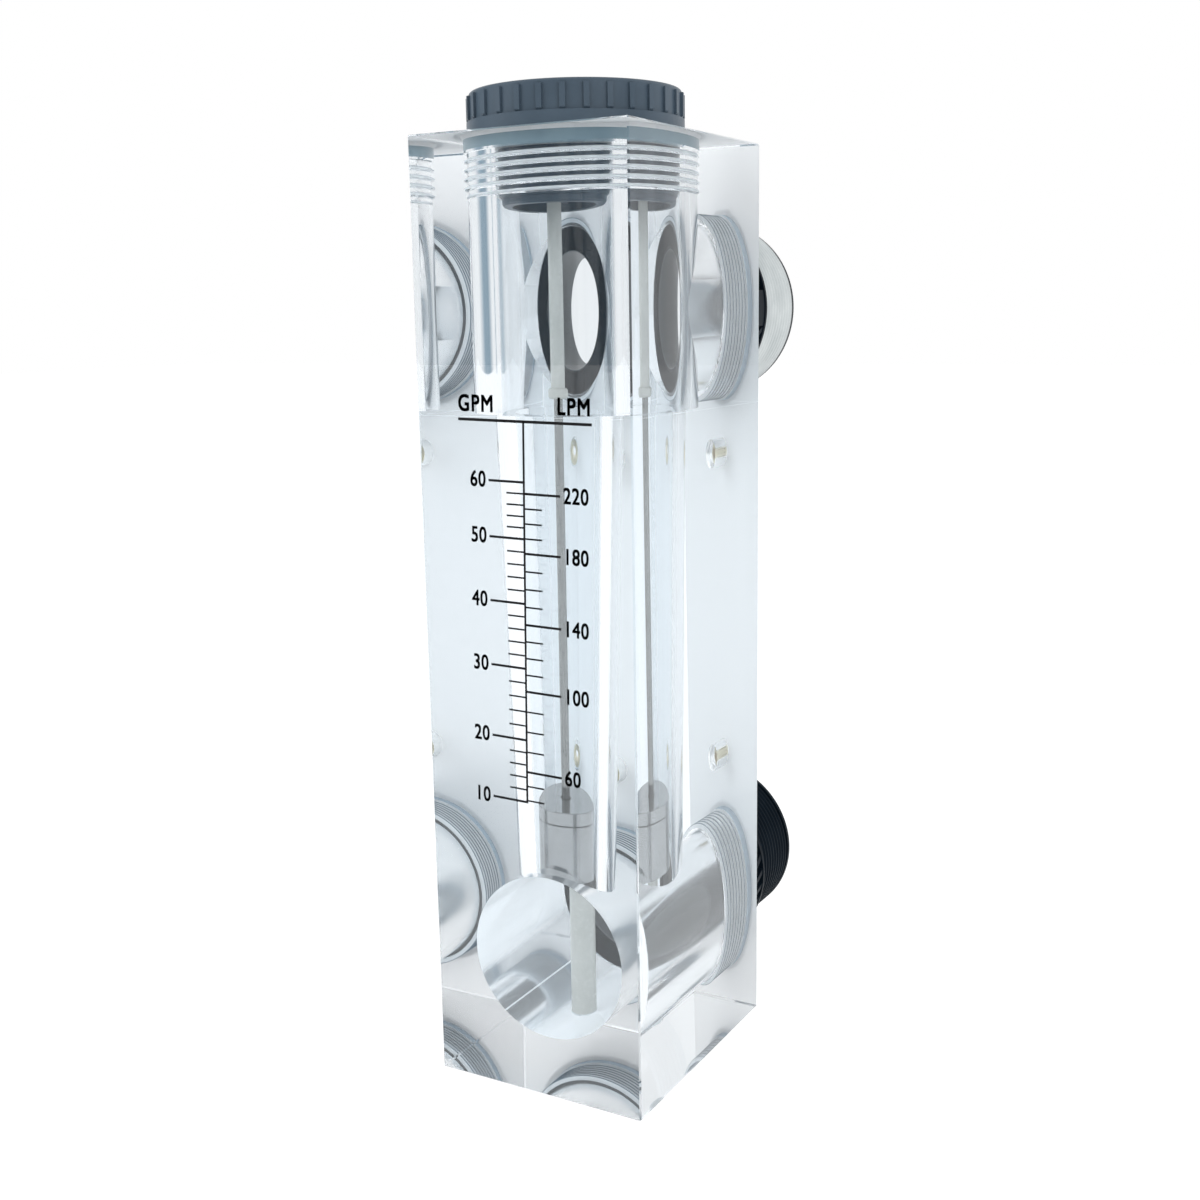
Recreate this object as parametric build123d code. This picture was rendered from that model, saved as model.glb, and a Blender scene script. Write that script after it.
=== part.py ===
from build123d import *
from math import asin, cos, degrees, radians, tan
import os

# Rotameter: a clear acrylic block with a tapered bore, a steel float on a guide rod,
# a screwed plug on top and two threaded port fittings at the back.
# Millimetres. Origin at the centre of the block's base, +X to the right along the
# scale face, +Y towards the ports, +Z up.

# Block
block_width = 75.0
block_depth = 89.0
block_height = 300.0
edge_chamfer = 0.5
axis_from_front = 35.5         # scale face to the axis of the metering bore

# Metering bore and float chamber
taper_foot_radius = 16.4       # at the inlet's centre height
taper_top_radius = 21.5        # at the seam
chamber_radius = 28.5          # above the seam
seam_margin = 0.3              # solid left between the seam and the outlet port

# Ports at the back
inlet_height = 43.5
outlet_below_top = 52.2
inlet_front_wall = 13.0        # from the scale face to the blind end of the inlet bore
port_bore_radius = 27.25
port_bore_step = 1.15          # the thread's minor radius stands outside the bore by this
port_pitch = 2.309
port_turns = 7
port_groove_depth = 1.5
port_groove_mouth = 1.73
port_groove_floor = 0.29
port_counterbore_depth = 3.6

# Port fittings
thread_clearance = 0.15
fitting_bore_radius = 19.3
fitting_insertion = 20.0
spigot_bevel = 1.0
neck_step = 0.8                # the neck under the O-ring stands inside the thread's root
collar_length = 19.0
collar_radius = 32.4
collar_web_depth = 3.2
collar_rim = 1.8
collar_bevel = 0.6
collar_ribs = 36
collar_rib_width = 1.7
collar_rib_slant = 28.0        # degrees from the fitting's axis
collar_rib_drop = 0.3          # ribs end this far inside the rims
collar_panel_width = 12.0      # two smooth panels between the ribs, opposite each other
inlet_fitting_turn = 45.0      # degrees that it was screwed past the outlet's place
pipe_thread_turns = 11
pipe_thread_radius = 30.15
pipe_thread_depth = 1.25
pipe_thread_length = 29.0
pipe_ridge_foot = 0.85         # shares of the pitch
pipe_ridge_crest = 0.14
pipe_end_land = 2.0            # plain rim past the thread
pipe_end_bevel = 0.6
fitting_mouth_bevel = 1.2
port_o_ring_section = 2.8
o_ring_gap = 0.1

# Sealing tape on the outlet's pipe thread
tape_thickness = 0.3
tape_wave = 0.12
tape_gap = 0.03

# Screwed plug
plug_pitch = 2.65
plug_turns = 5
groove_depth = 1.0
groove_mouth = 1.5
groove_floor = 0.45
plug_running_gap = 0.2
plug_ridge_depth = 1.5
plug_nose_step = 1.4
plug_nose_length = 2.6
plug_nose_bevel = 0.6
seat_depth = 5.15              # plain counterbore between the thread and the block's top
seat_step = 0.1
seat_chamfer = 1.2
cap_overlap = 1.6              # how far the cap reaches past the counterbore's chamfer
cap_height = 12.7
cap_band_height = 4.0
cap_ribs = 30
cap_rib_height = 0.8
cap_rib_width = 1.7
cap_rib_bevel = 0.7
cap_rib_top_gap = 1.3
cap_edge_radius = 1.0
cap_rim_width = 5.9
cap_dish_depth = 2.5
cap_dish_flare = 1.5
plug_skirt = 4.9               # wall round the cored underside
plug_core_depth = 17.0
plug_webs = 4
plug_web_width = 3.0
boss_wall = 5.25
boss_recess = 2.4              # the boss ends above the plug's nose
seal_gap = 0.06
seal_rounding = 0.9

# Guide rod with its sleeves and bumper
rod_radius = 2.25
rod_grip = 9.0                 # length held in the plug's boss
rod_fit = 0.03
rod_bevel = 0.4
sleeve_gap = 0.06
upper_sleeve_wall = 1.19
lower_sleeve_wall = 1.89
stop_above_seam = 7.0          # lower end of the upper sleeve
bumper_wall = 2.59
bumper_height = 3.2
bumper_rounding = 1.0
foot_recess_depth = 1.5
foot_recess_gap = 0.25
foot_gap = 0.3

# Float
float_bore_gap = 1.4           # between the float and the foot of the metering bore
float_height = 23.8
float_above_inlet = 23.8       # the float's rest above the inlet's centre
float_guide_gap = 0.08
float_guide_land = 4.0
float_relief_step = 1.27
float_eye_step = 0.47
float_eye_depth = 1.2
float_line_depth = 4.5         # reading line below the top face
float_line_width = 0.6
float_line_cut = 0.35
float_foot_bevel = 0.6
float_top_bevel = 0.25

# Threaded inserts for the panel screws
lower_insert_above_inlet = 50.5
upper_insert_below_outlet = 47.8
insert_radius = 4.8
insert_length = 8.4
insert_hole_radius = 2.5
insert_set_back = 0.1
insert_bevel = 0.3
insert_pocket_gap = 0.04
insert_pocket_depth = 9.0
insert_knurls = 24
insert_knurl_depth = 0.35
insert_knurl_width = 0.5
insert_knurl_margin = 1.5
drill_point = 118.0

# Spare length of a cutter past the face that it opens
past = 1.0

# Worked out from the sizes above
axis_y = axis_from_front - block_depth / 2
back_y = block_depth / 2
tube_axis = Location((0, axis_y, 0))

port_minor_radius = port_bore_radius + port_bore_step
neck_radius = port_minor_radius - thread_clearance - neck_step
port_counterbore_radius = neck_radius + port_o_ring_section + o_ring_gap
port_thread_length = (port_turns + 0.25) * port_pitch
pipe_pitch = port_pitch

outlet_height = block_height - outlet_below_top
seam_height = outlet_height - port_counterbore_radius - seam_margin

lower_insert_height = inlet_height + lower_insert_above_inlet
upper_insert_height = outlet_height - upper_insert_below_outlet

plug_thread_top = block_height - seat_depth
plug_thread_foot = plug_thread_top - plug_turns * plug_pitch
plug_nose_height = plug_thread_foot - plug_nose_length
plug_crest_radius = chamber_radius - plug_running_gap
plug_root_radius = plug_crest_radius - plug_ridge_depth
plug_nose_radius = plug_root_radius - plug_nose_step
plug_core_radius = plug_nose_radius - plug_skirt
seat_radius = chamber_radius + groove_depth + seat_step
cap_radius = seat_radius + seat_chamfer + cap_overlap
cap_outer_radius = cap_radius + cap_rib_height
boss_radius = rod_radius + boss_wall
boss_foot_height = plug_nose_height + boss_recess

sleeve_bore = rod_radius + sleeve_gap
upper_sleeve_radius = sleeve_bore + upper_sleeve_wall
lower_sleeve_radius = sleeve_bore + lower_sleeve_wall
bumper_radius = sleeve_bore + bumper_wall
upper_stop_height = seam_height + stop_above_seam
inlet_floor = inlet_height - port_bore_radius
rod_foot = inlet_floor - foot_recess_depth + foot_gap
rod_top = boss_foot_height + rod_grip

float_radius = taper_foot_radius - float_bore_gap
float_guide_radius = rod_radius + float_guide_gap
float_rest_height = inlet_height + float_above_inlet


def revolved(outline):
    """Solid of revolution about Z of a closed outline of (radius, height) points."""
    face = make_face(Plane.XZ * Polyline(*outline, close=True))
    return revolve(face, axis=Axis.Z)


def ridges(first, pitch, count, low, high, foot, top):
    """Outline points of equal trapezoid ridges, from the radius low to the radius high."""
    points = []
    for turn in range(count):
        middle = first + turn * pitch
        points.append((low, middle - foot / 2))
        points.append((high, middle - top / 2))
        points.append((high, middle + top / 2))
        points.append((low, middle + foot / 2))
    return points


def ring(inner, outer, low, high):
    """Plain ring about Z between two heights."""
    return revolved([(inner, low), (outer, low), (outer, high), (inner, high)])


def rod_from(foot, radius, length):
    """Upright cylinder that stands on the height foot."""
    standing = (Align.CENTER, Align.CENTER, Align.MIN)
    return Pos(0, 0, foot) * Cylinder(radius, length, align=standing)


def outer_circles(solid, radius):
    """Circular edges that are wider than the given radius."""
    return [e for e in solid.edges().filter_by(GeomType.CIRCLE) if e.radius > radius]


def at_port(height):
    """Place with local +Z out of the back face, its origin on that face."""
    return Location((0, back_y, height), (-90, 0, 0))


# Clear blocks

def bevelled_box(low, high):
    """Block between two heights, with small chamfers on all edges but the bonded seam's."""
    solid = Pos(0, 0, (low + high) / 2) * Box(block_width, block_depth, high - low)
    edges = [e for e in solid.edges() if abs(e.center().Z - seam_height) > edge_chamfer]
    return chamfer(edges, edge_chamfer)


def port_cutter(depth):
    """Threaded port with its counterbore and a plain bore down to the given depth."""
    top = -port_counterbore_depth
    foot = top - port_thread_length
    outline = [(0, -depth), (port_bore_radius, -depth), (port_bore_radius, foot)]
    outline += [(port_minor_radius, foot)]
    outline += ridges(foot + port_pitch / 2, port_pitch, port_turns, port_minor_radius,
                      port_minor_radius + port_groove_depth, port_groove_mouth,
                      port_groove_floor)
    outline += [(port_minor_radius, top), (port_counterbore_radius, top)]
    outline += [(port_counterbore_radius, past), (0, past)]
    return revolved(outline)


def insert_pocket():
    """Blind drilled hole for a threaded insert, with its drill point."""
    radius = insert_radius + insert_pocket_gap
    depth = insert_pocket_depth
    point = radius / tan(radians(drill_point / 2))
    return revolved([(0, -depth - point), (radius, -depth), (radius, past), (0, past)])


def lower_block():
    block = bevelled_box(0, seam_height)
    bore = revolved([(0, inlet_height), (taper_foot_radius, inlet_height),
                     (taper_top_radius, seam_height), (0, seam_height)])
    block -= tube_axis * bore
    block -= at_port(inlet_height) * port_cutter(block_depth - inlet_front_wall)
    recess_radius = lower_sleeve_radius + foot_recess_gap
    recess_foot = inlet_floor - foot_recess_depth
    block -= tube_axis * rod_from(recess_foot, recess_radius, inlet_height - recess_foot)
    for height in (lower_insert_height, upper_insert_height):
        block -= at_port(height) * insert_pocket()
    return block


def upper_block():
    block = bevelled_box(seam_height, block_height)
    outline = [(0, seam_height), (chamber_radius, seam_height)]
    outline += ridges(plug_thread_foot + plug_pitch / 2, plug_pitch, plug_turns,
                      chamber_radius, chamber_radius + groove_depth, groove_mouth,
                      groove_floor)
    outline += [(chamber_radius, plug_thread_top), (seat_radius, plug_thread_top)]
    outline += [(seat_radius, block_height - seat_chamfer)]
    outline += [(seat_radius + seat_chamfer, block_height), (0, block_height)]
    block -= tube_axis * revolved(outline)
    return block - at_port(outlet_height) * port_cutter(back_y - axis_y)


# Port fittings

def fitting_body():
    """Turned form of a fitting: spigot with its thread, neck, collar web, pipe thread."""
    root = port_minor_radius - thread_clearance
    crest = root + port_groove_depth
    tip = -fitting_insertion
    neck_foot = -port_counterbore_depth
    first_ridge = neck_foot - port_thread_length + 1.5 * port_pitch
    outline = [(fitting_bore_radius, tip + spigot_bevel)]
    outline += [(fitting_bore_radius + spigot_bevel, tip)]
    outline += [(root - spigot_bevel, tip), (root, tip + spigot_bevel)]
    outline += ridges(first_ridge, port_pitch, port_turns - 1, root, crest,
                      port_groove_mouth - thread_clearance,
                      port_groove_floor - thread_clearance / 2)
    outline += [(root, neck_foot), (neck_radius, neck_foot), (neck_radius, 0)]

    web_radius = collar_radius - collar_web_depth
    outline += [(collar_radius - collar_bevel, 0), (collar_radius, collar_bevel)]
    outline += [(collar_radius, collar_rim), (web_radius, collar_rim)]
    outline += [(web_radius, collar_length - collar_rim)]
    outline += [(collar_radius, collar_length - collar_rim)]
    outline += [(collar_radius, collar_length - collar_bevel)]
    outline += [(collar_radius - collar_bevel, collar_length)]

    base = pipe_thread_radius - pipe_thread_depth
    end = collar_length + pipe_thread_length
    outline += [(base, collar_length)]
    outline += ridges(collar_length + 0.75 * pipe_pitch, pipe_pitch, pipe_thread_turns,
                      base, pipe_thread_radius, pipe_ridge_foot * pipe_pitch,
                      pipe_ridge_crest * pipe_pitch)
    outline += [(base, end - pipe_end_land), (pipe_thread_radius, end - pipe_end_land)]
    outline += [(pipe_thread_radius, end - pipe_end_bevel)]
    outline += [(pipe_thread_radius - pipe_end_bevel, end)]
    outline += [(fitting_bore_radius + fitting_mouth_bevel, end)]
    outline += [(fitting_bore_radius, end - fitting_mouth_bevel)]
    return revolved(outline)


def fitting():
    """Black fitting along local +Z, with slanted ribs and two panels between its rims."""
    web_radius = collar_radius - collar_web_depth
    rib_radius = collar_radius - collar_rib_drop
    low = collar_rim
    high = collar_length - collar_rim
    length = (high - low) / cos(radians(collar_rib_slant)) + 2 * collar_rib_width
    bar = Box(2 * collar_web_depth, collar_rib_width, length)
    bar = Pos(web_radius, 0, (low + high) / 2) * Rot(collar_rib_slant, 0, 0) * bar
    band = ring(web_radius - collar_web_depth / 2, rib_radius, low, high)
    rib = band & bar
    panels = band & Pos(0, 0, (low + high) / 2) * Box(3 * collar_radius, collar_panel_width, high)
    step = 360 / collar_ribs
    half_panel = degrees(asin(collar_panel_width / 2 / rib_radius))
    turns = [k * step for k in range(collar_ribs)]
    ribs = [Rot(0, 0, turn) * rib for turn in turns
            if half_panel < turn % 180 < 180 - half_panel]
    return fitting_body() + [*panels.solids(), *ribs]


def port_o_ring():
    section_radius = port_o_ring_section / 2
    torus = Torus(neck_radius + o_ring_gap / 2 + section_radius, section_radius)
    return Pos(0, 0, -section_radius - o_ring_gap) * torus


def thread_tape():
    """White sealing tape pressed into a pipe thread, in low waves over its ridges."""
    inner = pipe_thread_radius + tape_gap
    foot = inner - pipe_thread_depth
    outer = inner + tape_thickness
    first = collar_length + 0.75 * pipe_pitch
    low = collar_length + tape_thickness
    high = collar_length + pipe_thread_length - pipe_end_land - tape_gap
    grooves = ridges(first, pipe_pitch, pipe_thread_turns, foot, inner,
                     pipe_ridge_foot * pipe_pitch + 2 * tape_gap,
                     pipe_ridge_crest * pipe_pitch + 2 * tape_gap)
    outline = [(foot, low), (outer - tape_wave, low)]
    outline += ridges(first, pipe_pitch, pipe_thread_turns, outer - tape_wave, outer,
                      pipe_ridge_foot * pipe_pitch, pipe_ridge_crest * pipe_pitch)
    outline += [(outer - tape_wave, high), (foot, high), *reversed(grooves)]
    return revolved(outline)


# Screwed plug with its seal

def plug_form():
    """Turned form of the plug: nose, thread, neck in the seat and cap."""
    nose = plug_nose_height
    band_top = block_height + cap_band_height
    top = block_height + cap_height
    outline = [(0, nose), (plug_nose_radius - plug_nose_bevel, nose)]
    outline += [(plug_nose_radius, nose + plug_nose_bevel)]
    outline += [(plug_nose_radius, plug_thread_foot - plug_nose_bevel)]
    outline += [(plug_root_radius, plug_thread_foot)]
    outline += ridges(plug_thread_foot + plug_pitch / 2, plug_pitch, plug_turns,
                      plug_root_radius, plug_crest_radius, groove_mouth, groove_floor)
    outline += [(plug_root_radius, block_height), (cap_outer_radius, block_height)]
    outline += [(cap_outer_radius, band_top), (cap_radius, band_top)]
    outline += [(cap_radius, top), (0, top)]
    body = revolved(outline)
    body = fillet(body.faces().sort_by(Axis.Z)[-1].edges(), cap_edge_radius)
    dish_radius = cap_radius - cap_rim_width
    dish_floor = top - cap_dish_depth
    return body - revolved([(0, dish_floor), (dish_radius - cap_dish_flare, dish_floor),
                            (dish_radius, top), (0, top)])


def cap_rib_pattern():
    """Upright grip ribs round the cap, standing on its plain band."""
    foot = block_height + cap_band_height
    length = cap_height - cap_band_height - cap_rib_top_gap
    rib = Box(2 * cap_rib_height, cap_rib_width, length,
              align=(Align.MAX, Align.CENTER, Align.MIN))
    rib = chamfer(rib.edges().filter_by(Axis.Y).sort_by(Axis.X)[-1:], cap_rib_bevel)
    rib = Pos(cap_outer_radius, 0, foot) * rib
    step = 360 / cap_ribs
    return [Rot(0, 0, (turn + 0.5) * step) * rib for turn in range(cap_ribs)]


def plug():
    nose = plug_nose_height
    core_top = nose + plug_core_depth
    core = ring(boss_radius, plug_core_radius, nose, core_top)
    web = Box(2 * plug_core_radius + past, plug_web_width, plug_core_depth,
              align=(Align.CENTER, Align.CENTER, Align.MIN))
    for turn in range(plug_webs // 2):
        core -= Pos(0, 0, boss_foot_height) * Rot(0, 0, turn * 360 / plug_webs) * web
    body = plug_form() + cap_rib_pattern()
    body -= core
    body -= ring(0, boss_radius, nose, boss_foot_height)
    body -= rod_from(boss_foot_height, rod_radius + rod_fit, rod_grip + rod_fit)
    return tube_axis * body


def plug_seal():
    """Soft seal ring on the plug's neck, in the counterbore under the cap."""
    solid = ring(plug_root_radius + seal_gap, seat_radius - seal_gap,
                 plug_thread_top + seal_gap, block_height - seal_gap)
    rims = outer_circles(solid, seat_radius - 2 * seal_gap)
    return tube_axis * fillet(rims, seal_rounding)


# Guide rod with its sleeves and bumper

def guide_rod():
    rod = rod_from(rod_foot, rod_radius, rod_top - rod_foot)
    return tube_axis * chamfer(outer_circles(rod, rod_radius / 2), rod_bevel)


def upper_sleeve():
    return tube_axis * ring(sleeve_bore, upper_sleeve_radius, upper_stop_height,
                            boss_foot_height - sleeve_gap)


def upper_bumper():
    solid = ring(sleeve_bore, bumper_radius, upper_stop_height - bumper_height,
                 upper_stop_height)
    return tube_axis * fillet(outer_circles(solid, sleeve_bore + sleeve_gap), bumper_rounding)


def lower_sleeve():
    return tube_axis * ring(sleeve_bore, lower_sleeve_radius, rod_foot, float_rest_height)


# Float

def float_body():
    """Turned float with two guide lands, a relieved middle and its reading line."""
    guide = float_guide_radius
    relief = guide + float_relief_step
    eye = guide + float_eye_step
    top = float_height
    line = top - float_line_depth
    half = float_line_width / 2
    upper_land = top - float_eye_depth
    outline = [(guide, 0), (float_radius - float_foot_bevel, 0)]
    outline += [(float_radius, float_foot_bevel), (float_radius, line - half)]
    outline += [(float_radius - float_line_cut, line), (float_radius, line + half)]
    outline += [(float_radius, top - float_top_bevel), (float_radius - float_top_bevel, top)]
    outline += [(eye, top), (eye, upper_land), (guide, upper_land)]
    outline += [(guide, upper_land - float_guide_land)]
    outline += [(relief, upper_land - float_guide_land)]
    outline += [(relief, float_guide_land), (guide, float_guide_land)]
    return tube_axis * Pos(0, 0, float_rest_height) * revolved(outline)


# Threaded inserts

def threaded_insert():
    """Brass insert along local +Z, just inside the back face, with a grooved outside."""
    solid = ring(insert_hole_radius, insert_radius, -insert_length, -insert_set_back)
    solid = chamfer(solid.edges().filter_by(GeomType.CIRCLE), insert_bevel)
    notch = Box(2 * insert_knurl_depth, insert_knurl_width,
                insert_length - 2 * insert_knurl_margin)
    notch = Pos(insert_radius, 0, -insert_length / 2) * notch
    step = 360 / insert_knurls
    return solid - [Rot(0, 0, turn * step) * notch for turn in range(insert_knurls)]


nodes = {
    "lower_block": lower_block(),
    "upper_block": upper_block(),
    "inlet_fitting": at_port(inlet_height) * Rot(0, 0, inlet_fitting_turn) * fitting(),
    "outlet_fitting": at_port(outlet_height) * fitting(),
    "inlet_o_ring": at_port(inlet_height) * port_o_ring(),
    "outlet_o_ring": at_port(outlet_height) * port_o_ring(),
    "outlet_thread_tape": at_port(outlet_height) * thread_tape(),
    "lower_insert": at_port(lower_insert_height) * threaded_insert(),
    "upper_insert": at_port(upper_insert_height) * threaded_insert(),
    "plug": plug(),
    "plug_seal": plug_seal(),
    "guide_rod": guide_rod(),
    "upper_sleeve": upper_sleeve(),
    "upper_bumper": upper_bumper(),
    "lower_sleeve": lower_sleeve(),
    "float": float_body(),
}

os.makedirs("parts", exist_ok=True)
for name, solid in nodes.items():
    export_step(solid, f"parts/{name}.step")
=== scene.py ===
from math import cos, pi, radians, sin, tan

import bmesh
import bpy
from mathutils import Euler, Matrix, Vector


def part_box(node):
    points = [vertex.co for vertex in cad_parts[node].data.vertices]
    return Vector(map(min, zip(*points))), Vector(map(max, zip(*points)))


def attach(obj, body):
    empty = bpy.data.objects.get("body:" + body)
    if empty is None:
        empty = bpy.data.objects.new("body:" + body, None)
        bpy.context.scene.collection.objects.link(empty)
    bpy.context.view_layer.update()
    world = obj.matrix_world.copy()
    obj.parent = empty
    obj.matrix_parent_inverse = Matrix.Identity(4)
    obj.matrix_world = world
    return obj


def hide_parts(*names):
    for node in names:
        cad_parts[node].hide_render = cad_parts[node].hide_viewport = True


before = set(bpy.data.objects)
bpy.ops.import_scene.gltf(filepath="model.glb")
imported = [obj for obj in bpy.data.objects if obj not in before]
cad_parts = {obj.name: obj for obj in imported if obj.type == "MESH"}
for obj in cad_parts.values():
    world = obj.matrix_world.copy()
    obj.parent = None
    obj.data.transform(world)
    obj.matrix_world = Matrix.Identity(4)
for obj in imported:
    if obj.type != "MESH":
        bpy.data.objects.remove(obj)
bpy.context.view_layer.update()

MM = 0.001


def centre_of(node):
    """Middle of a node's box."""
    low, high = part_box(node)
    return [(a + b) / 2 for a, b in zip(low, high)]


# Places that the frame gives
lower_low, lower_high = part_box("lower_block")
HALF_WIDTH = lower_high.x
FRONT_Y = lower_low.y
BACK_Y = lower_high.y
SEAM_Z = lower_high.z
TOP_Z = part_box("upper_block")[1].z
AXIS_Y = centre_of("guide_rod")[1]
INLET_Z = centre_of("inlet_fitting")[2]
OUTLET_Z = centre_of("outlet_fitting")[2]
TAPE_END_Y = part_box("outlet_thread_tape")[1].y

TUBE = Matrix.Translation((0, AXIS_Y, 0))


def at_port(height):
    """Place with local +Z out of the back face."""
    return Matrix.Translation((0, BACK_Y, height)) @ Matrix.Rotation(radians(-90), 4, "X")


# Sizes inside the clear block
EDGE_CHAMFER = 0.5 * MM
CHAMBER_RADIUS = 28.5 * MM
TAPER_TOP_RADIUS = 21.5 * MM
TAPER_FOOT_RADIUS = 16.4 * MM
PORT_BORE_RADIUS = 27.25 * MM
INLET_FRONT_WALL = 13.0 * MM
PORT_MINOR_RADIUS = 28.4 * MM
PORT_PITCH = 2.309 * MM
PORT_TURNS = 7
PORT_RUNOUT = 0.25                  # of a pitch, past the last groove
PORT_GROOVE = (1.5 * MM, 1.73 * MM, 0.29 * MM)      # depth, width at the mouth, at the floor
GROOVE_TIP = 0.86                   # share of a port groove's depth where its tip of painted shade starts
PORT_COUNTERBORE_RADIUS = 30.35 * MM
PORT_COUNTERBORE_DEPTH = 3.6 * MM
PLUG_PITCH = 2.65 * MM
PLUG_TURNS = 5
PLUG_GROOVE = (1.0 * MM, 1.5 * MM, 0.45 * MM)
GROOVE_FADE = 0.45                  # of a pitch, where the helical groove starts and ends
SEAT_RADIUS = 29.5 * MM             # the soft seal presses a little into it
SEAT_DEPTH = 5.15 * MM
SEAT_CHAMFER = 1.2 * MM
INSERT_POCKET_RADIUS = 4.84 * MM
INSERT_POCKET_DEPTH = 9.0 * MM
DRILL_POINT = radians(118)
SLEEVE_GAP = 0.25 * MM              # round the lower sleeve in its recess
SLEEVE_DEPTH = 0.3 * MM             # from the sleeve's foot to the recess's
SEAM_GROOVE = 0.15 * MM             # depth of the fine line round the bond
SEAM_SPREAD = 0.3 * MM              # half height of its wedge, out past the faces
CONTACT_GAP = 0.03 * MM             # under the cap and the collars, so that no faces coincide
PAST = 1.0 * MM                     # by which a cutting tool reaches past the face that it cuts

FINE = 256                          # segments round a bore
COARSE = 128
MERGE = 1e-7                        # points nearer than this are one
SHARP_ANGLE = radians(30)
ALONG = 0.99                        # a face looks along an axis when its normal is past this


# Outlines of bores, as rows of a lathe mesh

def row(radius, height, finish):
    """A plain ring of a lathe mesh, and the material index of the faces that follow it."""
    return (lambda turn: (radius, height)), finish


def rows_of(*outline, finish):
    return [row(radius, height, finish) for radius, height in outline]


def thread_rows(foot, pitch, turns, radius, depth, mouth, floor, finish, groove_finish):
    """Rows that follow a helix: a trapezoid of the given depth that fades out at both ends."""
    top = foot + pitch * turns
    fade_length = GROOVE_FADE * pitch
    profile = ((-mouth / 2, 0, finish), (-floor / 2, 1, groove_finish),
               (floor / 2, 1, groove_finish), (mouth / 2, 0, finish))

    def helix(start, share):
        def at(turn):
            z = min(max(start + pitch * turn, foot), top)
            fade = min(1.0, (z - foot) / fade_length, (top - z) / fade_length)
            return radius + depth * share * fade, z
        return at

    rows = [row(radius, foot, finish)]
    for lap in range(-2, turns + 1):
        for offset, share, own in profile:
            rows.append((helix(foot + pitch * (lap + 0.5) + offset, share), own))
    return rows + [row(radius, top, finish)]


def ring_rows(foot, pitch, turns, radius, depth, mouth, floor, finish, painted_tip_shade):
    """Rows of equal ring grooves, for threads whose mate has ring ridges too."""
    tip_offset = -mouth / 2 + GROOVE_TIP * (mouth - floor) / 2
    # The tips of the grooves get painted shade
    profile = ((-mouth / 2, 0, finish), (tip_offset, GROOVE_TIP, painted_tip_shade),
               (-floor / 2, 1, painted_tip_shade), (floor / 2, 1, finish), (mouth / 2, 0, finish))
    rows = [row(radius, foot, finish)]
    for turn in range(turns):
        middle = foot + (turn + 0.5) * pitch
        for offset, share, own in profile:
            rows.append(row(radius + depth * share, middle + offset, own))
    return rows + [row(radius, foot + pitch * turns, finish)]


# Meshes

def link(name, data):
    """A new object of the data, in the scene."""
    obj = bpy.data.objects.new(name, data)
    bpy.context.scene.collection.objects.link(obj)
    return obj


def mesh_object(name, bm, place=Matrix.Identity(4)):
    """Makes an object of a bmesh, which it frees."""
    bmesh.ops.recalc_face_normals(bm, faces=bm.faces)
    mesh = bpy.data.meshes.new(name)
    bm.to_mesh(mesh)
    bm.free()
    mesh.transform(place)
    return link(name, mesh)


def lathe(name, rows, place, segments=FINE):
    """Solid of revolution about local Z. Its outline starts and ends on the axis."""
    bm = bmesh.new()
    grid = []
    for step in range(segments + 1):
        turn = step / segments
        c, s = cos(2 * pi * turn), sin(2 * pi * turn)
        line = []
        for at, finish in rows:
            radius, height = at(turn)
            line.append(bm.verts.new((radius * c, radius * s, height)))
        grid.append(line)
    for a, b in zip(grid, grid[1:]):
        for j in range(len(rows) - 1):
            face = bm.faces.new((a[j], b[j], b[j + 1], a[j + 1]))
            face.material_index = rows[j][1]
    bmesh.ops.remove_doubles(bm, verts=bm.verts, dist=MERGE)
    return mesh_object(name, bm, place)


def cut(obj, tool):
    """Cuts tool out of obj, and deletes tool."""
    modifier = obj.modifiers.new("cut", "BOOLEAN")
    modifier.operation = "DIFFERENCE"
    modifier.object = tool
    modifier.solver = "MANIFOLD"
    graph = bpy.context.evaluated_depsgraph_get()
    mesh = bpy.data.meshes.new_from_object(obj.evaluated_get(graph))
    obj.modifiers.remove(modifier)
    obj.data = mesh
    bpy.data.objects.remove(tool)


def chamfered_box(name, size, centre, chamfer):
    """Box with a flat chamfer along its edges."""
    bm = bmesh.new()
    bmesh.ops.create_cube(bm, size=1.0)
    bmesh.ops.scale(bm, vec=size, verts=bm.verts)
    bmesh.ops.bevel(bm, geom=bm.edges, offset=chamfer, segments=1, affect="EDGES")
    return mesh_object(name, bm, Matrix.Translation(centre))


# Makers of materials

NOISE_ROUGHNESS = 0.55
GRAIN_DEPTH = 0.1 * MM
LATHE_MARK_DEPTH = 0.04 * MM
BRUSHING_DEPTH = 0.03 * MM
PLASTIC_SPREAD = (-0.07, 0.09)      # of the roughness, round its mean
METAL_SPREAD = (-0.08, 0.10)
MARKS_SPREAD = (0.4, 1.6)           # shares of the roughness
BRUSHING = 0.25
METAL_SHADE = 0.86                  # the darker colour's share of the lighter one
CLOUD_START, CLOUD_END = 0.3, 0.7   # of the noise, where a colour starts and ends to drift
MILK_TRANSLUCENT = 0.3              # share of the scattered light that passes through
END_START, END_FULL = 0.3, 0.43     # of the height, from the middle to the painted end light
BORE_EDGE = 19.6 * MM               # the turned bores of the fittings, painted greyer as a painted reflection, reach this far
TAPE_EDGE = 0.7 * MM                # at its end the tape is as dark as the fitting


def new_material(name):
    """A node material with its shader and the object's own coordinates in metres."""
    material = bpy.data.materials.new(name)
    material.use_nodes = True
    tree = material.node_tree
    shader = tree.nodes["Principled BSDF"]
    place = tree.nodes.new("ShaderNodeTexCoord")
    return material, tree, shader, place.outputs["Object"]


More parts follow.
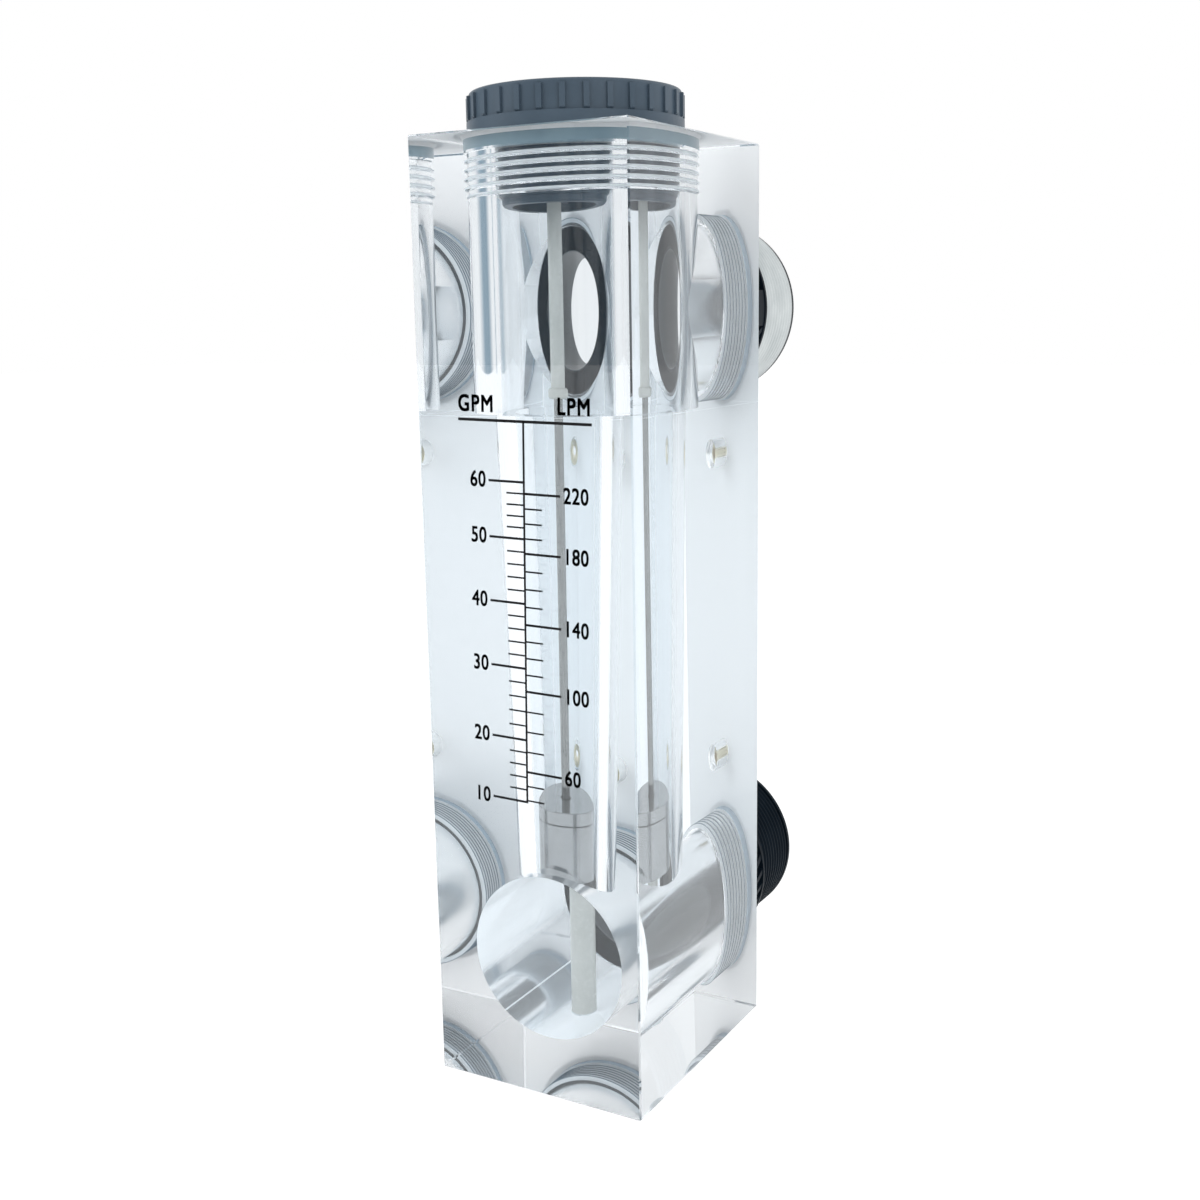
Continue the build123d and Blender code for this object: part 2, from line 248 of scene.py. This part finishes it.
def add(tree, kind, values=None, **settings):
    """A node with its settings, and its input sockets set or linked."""
    node = tree.nodes.new("ShaderNode" + kind)
    for key, value in settings.items():
        setattr(node, key, value)
    for key, value in (values or {}).items():
        if isinstance(value, bpy.types.NodeSocket):
            tree.links.new(value, node.inputs[key])
        else:
            node.inputs[key].default_value = value
    return node


def maths(tree, operation, *values):
    return add(tree, "Math", dict(enumerate(values)), operation=operation).outputs[0]


def mix_colours(tree, factor, first, second):
    return add(tree, "MixRGB", {"Fac": factor, "Color1": first, "Color2": second}).outputs[0]


def noise(tree, coordinates, scale, detail, stretch=(1, 1, 1)):
    """Noise over the object's coordinates, scaled along each axis."""
    mapping = add(tree, "Mapping", {"Vector": coordinates, "Scale": stretch})
    return add(tree, "TexNoise", {"Vector": mapping.outputs[0], "Scale": scale,
                                  "Detail": detail, "Roughness": NOISE_ROUGHNESS}).outputs[0]


def cloudy(tree, factor, first, second):
    """A colour that drifts from the first to the second over the middle of the factor."""
    ramp = add(tree, "ValToRGB", {"Fac": factor})
    ramp.color_ramp.elements[0].position = CLOUD_START
    ramp.color_ramp.elements[0].color = (*first, 1)
    ramp.color_ramp.elements[1].position = CLOUD_END
    ramp.color_ramp.elements[1].color = (*second, 1)
    return ramp.outputs[0]


def span(tree, factor, low, high):
    """Maps 0 to 1 onto low to high."""
    return add(tree, "MapRange", {"Value": factor, "To Min": low, "To Max": high}).outputs[0]


def around(value, spread):
    """The two ends of a spread round the value."""
    return value + spread[0], value + spread[1]


def bump(tree, height, strength, distance):
    return add(tree, "Bump", {"Height": height, "Strength": strength,
                              "Distance": distance}).outputs[0]


def beyond(limit):
    """Where the place along +Y is past the limit."""
    def mask(tree, place):
        along = add(tree, "SeparateXYZ", {"Vector": place}).outputs["Y"]
        return maths(tree, "GREATER_THAN", along, limit)
    return mask


def within(radius, axis_z):
    """Where the place is nearer than the radius to a port's axis."""
    def mask(tree, place):
        parts = add(tree, "SeparateXYZ", {"Vector": place})
        up = maths(tree, "SUBTRACT", parts.outputs["Z"], axis_z)
        across = add(tree, "CombineXYZ", {"X": parts.outputs["X"], "Z": up}).outputs[0]
        away = add(tree, "VectorMath", {0: across}, operation="LENGTH").outputs["Value"]
        return maths(tree, "LESS_THAN", away, radius)
    return mask


def plastic(name, dark, light, roughness, grain_scale, grain, specular=0.5, sheen=0.0,
            mask=None, mask_colour=None):
    """Moulded plastic: a slight shift of colour, a fine grain and uneven gloss.

    It has the mask colour where the mask says so.
    """
    material, tree, shader, place = new_material(name)
    cloud = noise(tree, place, scale=60, detail=3)
    grains = noise(tree, place, grain_scale, detail=6)
    colour = cloudy(tree, cloud, dark, light)
    if mask:
        colour = mix_colours(tree, mask(tree, place), colour, (*mask_colour, 1))
    tree.links.new(colour, shader.inputs["Base Color"])
    tree.links.new(span(tree, grains, *around(roughness, PLASTIC_SPREAD)),
                   shader.inputs["Roughness"])
    tree.links.new(bump(tree, grains, grain, GRAIN_DEPTH), shader.inputs["Normal"])
    shader.inputs["Specular IOR Level"].default_value = specular
    shader.inputs["Sheen Weight"].default_value = sheen
    return material


ACRYLIC_TINT = (0.86, 0.90, 0.93, 1)
ACRYLIC_IOR = 1.49
HAZE_COLOUR = (0.87, 0.92, 0.95, 1)
# Painted shade: a darker blue-grey for the frosted counterbore
HONED_PAINTED_SHADE_COLOUR = (0.42, 0.53, 0.62, 1)
# Painted shade in the tips of the port grooves
SHADED_COLOUR = (0.13, 0.19, 0.25, 1)
# Painted light: the scattered light of the frosted faces whitens towards the block's two ends
PAINTED_END_LIGHT = (1.0, 1.0, 1.0, 1)


def acrylic(name, roughness, haze=0.0, marks=0.0, colour=HAZE_COLOUR, painted_end_light=None):
    """Clear acrylic. Cut faces scatter a share of the light, and lathe marks ring +Y.

    Where it is given, the last argument paints the scattered light whiter near the block's two
    ends: this is painted light.
    """
    material, tree, shader, place = new_material(name)
    shader.inputs["Base Color"].default_value = ACRYLIC_TINT
    shader.inputs["IOR"].default_value = ACRYLIC_IOR
    shader.inputs["Transmission Weight"].default_value = 1.0
    shader.inputs["Roughness"].default_value = roughness
    if marks:
        along = add(tree, "SeparateXYZ", {"Vector": place}).outputs["Y"]
        ring = add(tree, "CombineXYZ", {"Y": along}).outputs[0]
        fine = noise(tree, ring, scale=2600, detail=3)
        wide = noise(tree, ring, scale=420, detail=2)
        low, high = (roughness * share for share in MARKS_SPREAD)
        tree.links.new(span(tree, wide, low, high), shader.inputs["Roughness"])
        tree.links.new(bump(tree, fine, marks, LATHE_MARK_DEPTH), shader.inputs["Normal"])
    if haze:
        # Painted light: whiter towards the block's two ends
        if painted_end_light:
            up = add(tree, "SeparateXYZ", {"Vector": place}).outputs["Z"]
            away = maths(tree, "ABSOLUTE", maths(tree, "SUBTRACT", up, TOP_Z / 2))
            near_end = add(tree, "MapRange", {"Value": away, "From Min": END_START * TOP_Z,
                                              "From Max": END_FULL * TOP_Z}).outputs[0]
            colour = mix_colours(tree, near_end, colour, painted_end_light)
        diffuse = add(tree, "BsdfDiffuse", {"Color": colour}).outputs[0]
        passing = add(tree, "BsdfTranslucent", {"Color": colour}).outputs[0]
        milk = add(tree, "MixShader", {0: MILK_TRANSLUCENT, 1: diffuse, 2: passing}).outputs[0]
        mixed = add(tree, "MixShader", {0: haze, 1: shader.outputs[0], 2: milk}).outputs[0]
        tree.links.new(mixed, tree.nodes["Material Output"].inputs["Surface"])
    return material


def metal(name, stretch, roughness, colour, metallic=1.0):
    """Turned or brushed metal. Its fine lines run along the axes that are stretched least."""
    material, tree, shader, place = new_material(name)
    lines = noise(tree, place, scale=900, detail=6, stretch=stretch)
    cloud = noise(tree, place, scale=90, detail=3)
    shader.inputs["Metallic"].default_value = metallic
    dark = tuple(METAL_SHADE * c for c in colour)
    tree.links.new(cloudy(tree, cloud, dark, colour), shader.inputs["Base Color"])
    tree.links.new(span(tree, lines, *around(roughness, METAL_SPREAD)),
                   shader.inputs["Roughness"])
    tree.links.new(bump(tree, lines, BRUSHING, BRUSHING_DEPTH), shader.inputs["Normal"])
    return material


# The materials

def fitting_plastic(name, axis_z):
    """Black moulded plastic, greyer in the bore, where it is turned: the grey is a painted
    reflection of the room on the bore's wall.
    """
    return plastic(name, (0.003, 0.006, 0.010), (0.006, 0.011, 0.017), roughness=0.32,
                   grain_scale=1500, grain=0.1, specular=0.04,
                   # The grey in the bore is a painted reflection
                   mask=within(BORE_EDGE, axis_z), mask_colour=(0.125, 0.14, 0.15))


# The clear block's finishes, with painted light and shade on some, in the order of its material
# slots
BLOCK_FINISHES_AND_PAINTED_LIGHT = (
    acrylic("acrylic_polished", 0.0),
    acrylic("acrylic_bored", 0.015, haze=0.02),
    acrylic("acrylic_turned", 0.10, haze=0.11, marks=0.4),
    acrylic("acrylic_threaded", 0.18, haze=0.84, marks=0.3),
    # Back and top faces: frosted, with painted light towards the block's two ends
    acrylic("acrylic_sawn_painted_end_light", 0.5, haze=0.85, painted_end_light=PAINTED_END_LIGHT),
    # Counterbore: frosted, and painted darker blue-grey as shade
    acrylic("acrylic_honed_painted_shade", 0.2, haze=0.9, colour=HONED_PAINTED_SHADE_COLOUR),
    # Tips of the port grooves: frosted, with painted shade
    acrylic("acrylic_shaded", 0.2, haze=0.9, colour=SHADED_COLOUR),
)
IS_POLISHED, IS_BORED, IS_TURNED, IS_THREADED, IS_SAWN_WITH_PAINTED_LIGHT, IS_HONED_PAINTED_SHADE, IS_SHADED = range(7)

INK = plastic("scale_ink", (0.003, 0.003, 0.004), (0.006, 0.006, 0.007), roughness=0.5,
              grain_scale=3000, grain=0.1, specular=0.15)
SLATE = plastic("slate_plastic", (0.042, 0.063, 0.086), (0.053, 0.077, 0.103), roughness=0.40,
                grain_scale=1500, grain=0.12, specular=0.34)
RUBBER = plastic("black_rubber", (0.010, 0.010, 0.011), (0.016, 0.016, 0.017), roughness=0.5,
                 grain_scale=2500, grain=0.1)
SEAL = plastic("grey_seal", (0.14, 0.215, 0.26), (0.19, 0.275, 0.32), roughness=0.35,
               grain_scale=900, grain=0.05, sheen=0.5)
PALE = plastic("pale_plastic", (0.50, 0.51, 0.48), (0.58, 0.59, 0.56), roughness=0.25,
               grain_scale=700, grain=0.06)
TAPE = plastic("white_tape", (0.32, 0.35, 0.355), (0.47, 0.50, 0.50), roughness=0.38,
               grain_scale=800, grain=0.35,
               mask=beyond(TAPE_END_Y - TAPE_EDGE), mask_colour=(0.01, 0.012, 0.014))
FLOAT_STEEL = metal("float_steel", stretch=(0.05, 0.05, 1), roughness=0.08,
                    colour=(0.43, 0.435, 0.435), metallic=0.94)
ROD_STEEL = metal("rod_steel", stretch=(1, 1, 0.03), roughness=0.11, colour=(0.34, 0.34, 0.33))
BRASS = metal("insert_brass", stretch=(1, 0.1, 1), roughness=0.3, colour=(0.80, 0.70, 0.46))

NODE_MATERIALS = {
    "inlet_fitting": fitting_plastic("inlet_plastic", INLET_Z),
    "outlet_fitting": fitting_plastic("outlet_plastic", OUTLET_Z),
    "inlet_o_ring": RUBBER,
    "outlet_o_ring": RUBBER,
    "outlet_thread_tape": TAPE,
    "lower_insert": BRASS,
    "upper_insert": BRASS,
    "plug": SLATE,
    "plug_seal": SEAL,
    "guide_rod": ROD_STEEL,
    "upper_sleeve": PALE,
    "upper_bumper": PALE,
    "lower_sleeve": PALE,
    "float": FLOAT_STEEL,
}


def dress_nodes():
    """Gives the nodes that stay their materials."""
    for name, material in NODE_MATERIALS.items():
        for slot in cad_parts[name].material_slots:
            slot.material = material


# Clear block

def port_rows(depth):
    """Outline of a port, which runs to the depth below the back face."""
    top = -PORT_COUNTERBORE_DEPTH
    foot = top - (PORT_TURNS + PORT_RUNOUT) * PORT_PITCH
    rows = [row(0, -depth, IS_BORED)]
    rows += rows_of((PORT_BORE_RADIUS, -depth), (PORT_BORE_RADIUS, foot), finish=IS_TURNED)
    rows += ring_rows(foot, PORT_PITCH, PORT_TURNS, PORT_MINOR_RADIUS, *PORT_GROOVE,
                      finish=IS_THREADED, painted_tip_shade=IS_SHADED)
    rows += [row(PORT_MINOR_RADIUS, top, IS_THREADED)]
    # The counterbore is frosted, and its darker blue-grey is painted shade
    rows += rows_of((PORT_COUNTERBORE_RADIUS, top), (PORT_COUNTERBORE_RADIUS, PAST), (0, PAST),
                    finish=IS_HONED_PAINTED_SHADE)
    return rows


def chamber_rows():
    """Outline of the float chamber, the plug's thread and the seat of its seal."""
    top = TOP_Z - SEAT_DEPTH
    foot = top - PLUG_TURNS * PLUG_PITCH
    rows = rows_of((0, SEAM_Z), (CHAMBER_RADIUS, SEAM_Z), finish=IS_BORED)
    rows += thread_rows(foot, PLUG_PITCH, PLUG_TURNS, CHAMBER_RADIUS, *PLUG_GROOVE,
                        finish=IS_BORED, groove_finish=IS_THREADED)
    mouth = SEAT_RADIUS + SEAT_CHAMFER
    rows += [row(SEAT_RADIUS, top, IS_BORED)]
    rows += rows_of((SEAT_RADIUS, TOP_Z - SEAT_CHAMFER), (mouth, TOP_Z), (mouth, TOP_Z + PAST),
                    (0, TOP_Z + PAST), finish=IS_SAWN_WITH_PAINTED_LIGHT)
    return rows


def seam_groove():
    """Thin wedge round the outside, where the two blocks are bonded."""
    bm = bmesh.new()
    rings = []
    for inset, rise in ((-PAST, -SEAM_SPREAD), (SEAM_GROOVE, 0), (-PAST, SEAM_SPREAD)):
        height = SEAM_Z + rise
        rings.append([bm.verts.new((side * (HALF_WIDTH - inset), y, height)) for side, y in (
            (-1, FRONT_Y + inset), (1, FRONT_Y + inset), (1, BACK_Y - inset),
            (-1, BACK_Y - inset))])
    for j in range(3):
        a, b = rings[j], rings[(j + 1) % 3]
        for i in range(4):
            k = (i + 1) % 4
            bm.faces.new((a[i], a[k], b[k], b[i])).material_index = IS_THREADED
    return mesh_object("seam_groove", bm)


def insert_pocket(node):
    """A drilled hole for a screw insert."""
    point = INSERT_POCKET_DEPTH + INSERT_POCKET_RADIUS / tan(DRILL_POINT / 2)
    pocket = rows_of((0, -point), (INSERT_POCKET_RADIUS, -INSERT_POCKET_DEPTH),
                     (INSERT_POCKET_RADIUS, PAST), (0, PAST), finish=IS_TURNED)
    return lathe("pocket", pocket, at_port(centre_of(node)[2]), COARSE)


def sleeve_recess():
    """The recess in the floor of the inlet bore that holds the lower sleeve's foot."""
    low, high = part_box("lower_sleeve")
    radius = (high.x - low.x) / 2 + SLEEVE_GAP
    foot = low.z - SLEEVE_DEPTH
    recess = rows_of((0, foot), (radius, foot), (radius, INLET_Z), (0, INLET_Z),
                     finish=IS_THREADED)
    return lathe("recess", recess, TUBE, COARSE)


def clear_block():
    """The two bonded blocks as one clear piece, with their bores, ports and pockets."""
    size = Vector((2 * HALF_WIDTH, BACK_Y - FRONT_Y - CONTACT_GAP, TOP_Z - CONTACT_GAP))
    centre = (0, FRONT_Y + size.y / 2, size.z / 2)
    block = chamfered_box("clear_block", size, centre, EDGE_CHAMFER)
    for material in BLOCK_FINISHES_AND_PAINTED_LIGHT:
        block.data.materials.append(material)
    for face in block.data.polygons:
        if max(face.normal.y, face.normal.z) > ALONG:
            face.material_index = IS_SAWN_WITH_PAINTED_LIGHT
    cut(block, lathe("chamber", chamber_rows(), TUBE))
    taper = rows_of((0, INLET_Z), (TAPER_FOOT_RADIUS, INLET_Z), (TAPER_TOP_RADIUS, SEAM_Z),
                    (TAPER_TOP_RADIUS, SEAM_Z + PAST), (0, SEAM_Z + PAST), finish=IS_BORED)
    cut(block, lathe("taper", taper, TUBE))
    inlet_depth = BACK_Y - FRONT_Y - INLET_FRONT_WALL
    cut(block, lathe("inlet", port_rows(inlet_depth), at_port(INLET_Z)))
    cut(block, lathe("outlet", port_rows(BACK_Y - AXIS_Y), at_port(OUTLET_Z)))
    cut(block, sleeve_recess())
    cut(block, insert_pocket("lower_insert"))
    cut(block, insert_pocket("upper_insert"))
    cut(block, seam_groove())
    block.data.shade_smooth()
    block.data.set_sharp_from_angle(angle=SHARP_ANGLE)
    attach(block, "housing")
    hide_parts("lower_block", "upper_block")
    # The lamps reach what is inside, and all other pieces still cast their shadows
    block.visible_shadow = False


# Printed scale on the front face, in heights above the base

PRINT_LEAN = radians(1.05)          # the print stands slightly askew
PRINT_CENTRE = Vector((-0.15 * MM, 0, 157 * MM))
INK_GAP = 0.03 * MM                 # from the face to the back of the ink
INK_THICKNESS = 0.015 * MM
SCALE_FOOT = 98.1 * MM
SCALE_TOP = 215.9 * MM
GALLONS = {10: 98.1, 20: 118.1, 30: 140.8, 40: 161.0, 50: 180.8, 60: 197.9}     # heights in mm
LITRES = {60: 107.9, 100: 133.6, 140: 154.5, 180: 176.4, 220: 194.5}
GALLON_PARTS = 5                    # between two numbers
LITRE_PARTS = 4
FOOT_STEP = 0.72                    # a litre step below the lowest number, against one above it
FOOT_REACH = 1.0 * MM               # a tick up to this far below the foot is put at the foot
LONG_TICK = 12.6 * MM
SHORT_TICK = 6.25 * MM
TICK_START = 0.9                    # share of the upright line's half width
LINE_WIDTH = 0.72 * MM
LONG_WIDTH = 0.74 * MM
SHORT_WIDTH = 0.54 * MM
TOP_LINE = (-23.3 * MM, 23.4 * MM)
TOP_LINE_WIDTH = 0.86 * MM
NUMBER_GAP = 1.0 * MM
UNIT_RISE = 4.65 * MM               # from the top line to the middle of the units
CAP_SHARE = 0.72                    # of a font's size that is the height of its capitals
STRIKES = ((-1, -1), (1, -1), (1, 1), (-1, 1), (0, 0))

# Height of the letters, their width against the font's, extra weight of the strokes, spacing
DIGIT_STYLE = {"height": 4.9 * MM, "narrow": 0.82, "weight": 0.12 * MM, "spacing": 1.06}
UNIT_STYLE = {"height": 5.05 * MM, "narrow": 0.84, "weight": 0.17 * MM, "spacing": 1.15}


def print_place():
    """From the print's own plane, centred on its upright line, to the front face."""
    face = Matrix.Translation((PRINT_CENTRE.x, FRONT_Y - INK_GAP, PRINT_CENTRE.z))
    return face @ Matrix.Rotation(PRINT_LEAN, 4, "Y") @ Matrix.Rotation(radians(90), 4, "X")


def bar(bm, left, right, low, high):
    """A flat rectangle on the print's plane."""
    corners = [bm.verts.new((x, z - PRINT_CENTRE.z, 0)) for x, z in (
        (left, low), (right, low), (right, high), (left, high))]
    bm.faces.new(corners)


def tick(bm, side, length, width, height):
    near, far = LINE_WIDTH / 2 * side * TICK_START, length * side
    bar(bm, min(near, far), max(near, far), height - width / 2, height + width / 2)


def solid_print(name, bm):
    """Gives flat print the thickness of its ink and puts it on the front face."""
    found = bmesh.ops.extrude_face_region(bm, geom=bm.faces[:])["geom"]
    raised = [v for v in found if isinstance(v, bmesh.types.BMVert)]
    bmesh.ops.translate(bm, vec=(0, 0, INK_THICKNESS), verts=raised)
    return mesh_object(name, bm, print_place())


def scale_lines():
    """The upright line, the line across its top and the ticks of both scales."""
    bm = bmesh.new()
    bar(bm, -LINE_WIDTH / 2, LINE_WIDTH / 2, SCALE_FOOT - LONG_WIDTH / 2, SCALE_TOP)
    bar(bm, *TOP_LINE, SCALE_TOP - TOP_LINE_WIDTH / 2, SCALE_TOP + TOP_LINE_WIDTH / 2)
    for side, marks, parts in ((-1, GALLONS, GALLON_PARTS), (1, LITRES, LITRE_PARTS)):
        heights = [value * MM for value in marks.values()]
        for low, high in zip(heights, heights[1:]):
            for part in range(1, parts):
                tick(bm, side, SHORT_TICK, SHORT_WIDTH, low + (high - low) * part / parts)
        for height in heights:
            tick(bm, side, LONG_TICK, LONG_WIDTH, height)
    step = (LITRES[100] - LITRES[60]) * MM / LITRE_PARTS * FOOT_STEP
    for part in (1, 2):
        height = LITRES[60] * MM - step * part
        if height > SCALE_FOOT - FOOT_REACH:
            tick(bm, 1, SHORT_TICK, SHORT_WIDTH, max(height, SCALE_FOOT))
    return solid_print("scale_lines", bm)


def lettering(name, text, anchor, align, height, narrow, weight, spacing):
    """A piece of print: letters of the given cap height, aligned to a point of the plane."""
    curve = bpy.data.curves.new(name, "FONT")
    curve.body = text
    curve.align_x = align
    curve.align_y = "CENTER"
    curve.size = height / CAP_SHARE
    curve.space_character = spacing
    curve.resolution_u = 4
    letters = link(name, curve)
    graph = bpy.context.evaluated_depsgraph_get()
    mesh = bpy.data.meshes.new_from_object(letters.evaluated_get(graph))
    bpy.data.objects.remove(letters)
    mesh.transform(Matrix.Diagonal((narrow, 1, 1, 1)))
    bm = bmesh.new()
    # Struck a few times a little apart, which makes the strokes bolder
    for right, up in STRIKES:
        shift = Vector((anchor[0] + right * weight, anchor[1] - PRINT_CENTRE.z + up * weight, 0))
        start = len(bm.verts)
        bm.from_mesh(mesh)
        bm.verts.ensure_lookup_table()
        bmesh.ops.translate(bm, vec=shift, verts=bm.verts[start:])
    return solid_print(name, bm)


def scale_print():
    """The lines, numbers and units of both scales, in ink."""
    pieces = [scale_lines()]
    number_x = LONG_TICK + NUMBER_GAP
    for name, marks, x, align in (("gallons", GALLONS, -number_x, "RIGHT"),
                                  ("litres", LITRES, number_x, "LEFT")):
        for value, height in marks.items():
            pieces.append(lettering(f"{name}_{value}", str(value), (x, height * MM), align,
                                    **DIGIT_STYLE))
    for name, text, x in (("unit_gallons", "GPM", -16.9 * MM), ("unit_litres", "LPM", 17.3 * MM)):
        pieces.append(lettering(name, text, (x, SCALE_TOP + UNIT_RISE), "CENTER", **UNIT_STYLE))
    for piece in pieces:
        piece.data.materials.append(INK)
        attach(piece, "housing")


# Camera, from the photo's fitted view

SENSOR_WIDTH = 36.0                 # in mm, like the lens
LENS = 44.62
NEAREST = 10 * MM
CAMERA_PLACE = (0.239205, -0.416325, 0.246951)
CAMERA_AZIMUTH = radians(29.828)
CAMERA_ELEVATION = radians(10.910)
CAMERA_ROLL = radians(-0.981)


def add_camera():
    camera = bpy.data.cameras.new("camera")
    camera.sensor_width = SENSOR_WIDTH
    camera.lens = LENS
    camera.clip_start = NEAREST
    obj = link("camera", camera)
    turn = Euler((pi / 2 - CAMERA_ELEVATION, 0, CAMERA_AZIMUTH), "XYZ").to_matrix().to_4x4()
    place = Matrix.Translation(CAMERA_PLACE)
    obj.matrix_world = place @ turn @ Matrix.Rotation(CAMERA_ROLL, 4, "Z")
    bpy.context.scene.camera = obj


# Room, floor and lamps

WHITE = (1, 1, 1, 1)
# Level of the room by azimuth in degrees from straight behind the object, + to the right
ROOM_LEVELS = ((-150, 0.13), (-138, 1.0), (-112, 1.0), (-100, 0.42), (-84, 0.46), (-66, 1.0),
               (66, 1.0), (84, 0.14), (104, 0.08), (112, 0.9), (132, 0.9), (142, 0.13))
ROOM_FRONT = 0.13                   # straight in front of the object
ROOM_DARK = (0.4, 0.8, 1.1)         # what tints the room where its level is low
CEILING_START, CEILING_FULL = 0.45, 0.8     # upward share of the direction
CEILING_COLOUR = (0.8, 0.8, 0.8, 1)
SCATTERED_LIGHT = (1.1, 1.12, 1.14, 1)
FLOOR_REACH = 6.0
FLOOR_Z = -0.4 * MM
FLOOR_PAINT = (0.92, 0.92, 0.92, 1)
FLOOR_GLOW = 1.16
FLOOR_GLOW_SHARE = 0.75
LAMP_TARGET = (0, 0, 0.15)
LAMPS = {                           # place, size and power
    "key": ((-0.9, -0.9, 0.9), (0.9, 0.9), 9.0),
    "fill": ((1.3, -0.5, 0.5), (0.7, 1.2), 6.0),
    "rim": ((0.5, 1.2, 0.8), (0.9, 0.9), 1.5),
}


def room_colour(level):
    """Plain at full level, and bluer where the room is darker."""
    return (*(level * (level + (1 - level) * tint) for tint in ROOM_DARK), 1)


def add_world():
    """White behind the object, and a darker room with soft panels on the other sides.

    Shiny and clear pieces see that room. The light that a matte piece has scattered comes from
    plain white on every side, and the camera sees plain white too.
    """
    world = bpy.data.worlds.new("studio")
    bpy.context.scene.world = world
    world.use_nodes = True
    tree = world.node_tree
    tree.nodes.clear()
    output = tree.nodes.new("ShaderNodeOutputWorld")
    path = tree.nodes.new("ShaderNodeLightPath")
    place = tree.nodes.new("ShaderNodeTexCoord")
    parts = add(tree, "SeparateXYZ", {"Vector": place.outputs["Generated"]})
    angle = maths(tree, "ARCTAN2", parts.outputs["X"], parts.outputs["Y"])
    turn = add(tree, "MapRange", {"Value": angle, "From Min": -pi, "From Max": pi}).outputs[0]
    room = add(tree, "ValToRGB", {"Fac": turn})
    stops = room.color_ramp.elements
    stops[0].position, stops[1].position = 0.0, 1.0
    for azimuth, level in ROOM_LEVELS:
        stop = stops.new((azimuth + 180) / 360)
        stop.color = room_colour(level)
    for stop in (stops[0], stops[-1]):
        stop.color = room_colour(ROOM_FRONT)
    ceiling = add(tree, "MapRange", {"Value": parts.outputs["Z"], "From Min": CEILING_START,
                                     "From Max": CEILING_FULL}).outputs[0]
    level = mix_colours(tree, ceiling, room.outputs[0], CEILING_COLOUR)
    scattered = maths(tree, "GREATER_THAN", path.outputs["Diffuse Depth"], 0.5)
    seen = mix_colours(tree, scattered, level, SCATTERED_LIGHT)
    room_light = add(tree, "Background", {"Color": seen, "Strength": 1.0})
    white = add(tree, "Background", {"Color": WHITE, "Strength": 1.0})
    mixed = add(tree, "MixShader", {0: path.outputs["Is Camera Ray"],
                                    1: room_light.outputs[0], 2: white.outputs[0]})
    tree.links.new(mixed.outputs[0], output.inputs["Surface"])


def add_floor():
    """White floor just under the base. It mostly glows, so that shadows on it stay faint."""
    mesh = bpy.data.meshes.new("floor")
    corners = [(right * FLOOR_REACH, back * FLOOR_REACH, FLOOR_Z)
               for right, back in ((-1, -1), (1, -1), (1, 1), (-1, 1))]
    mesh.from_pydata(corners, [], [(0, 1, 2, 3)])
    floor = link("floor", mesh)
    material = bpy.data.materials.new("floor_white")
    material.use_nodes = True
    tree = material.node_tree
    tree.nodes.clear()
    output = tree.nodes.new("ShaderNodeOutputMaterial")
    paint = add(tree, "BsdfDiffuse", {"Color": FLOOR_PAINT})
    glow = add(tree, "Emission", {"Color": WHITE, "Strength": FLOOR_GLOW})
    mixed = add(tree, "MixShader", {0: FLOOR_GLOW_SHARE, 1: paint.outputs[0],
                                    2: glow.outputs[0]})
    tree.links.new(mixed.outputs[0], output.inputs["Surface"])
    mesh.materials.append(material)


def add_lamp(name, place, size, power):
    """A soft lamp aimed at the object. It isn't seen in shiny and clear pieces."""
    lamp = bpy.data.lights.new(name, "AREA")
    lamp.shape = "RECTANGLE"
    lamp.size, lamp.size_y = size
    lamp.energy = power
    obj = link(name, lamp)
    obj.location = place
    direction = Vector(LAMP_TARGET) - Vector(place)
    obj.rotation_euler = direction.to_track_quat("-Z", "Y").to_euler()
    obj.visible_glossy = False
    obj.visible_transmission = False


clear_block()
scale_print()
dress_nodes()
add_camera()
add_world()
add_floor()
for lamp_name, settings in LAMPS.items():
    add_lamp(lamp_name, *settings)

scene = bpy.context.scene
scene.view_settings.view_transform = "Standard"
# A ray crosses many clear faces on its way through the block
scene.cycles.max_bounces = 40
scene.cycles.transmission_bounces = 40
scene.cycles.transparent_max_bounces = 16
scene.cycles.glossy_bounces = 12
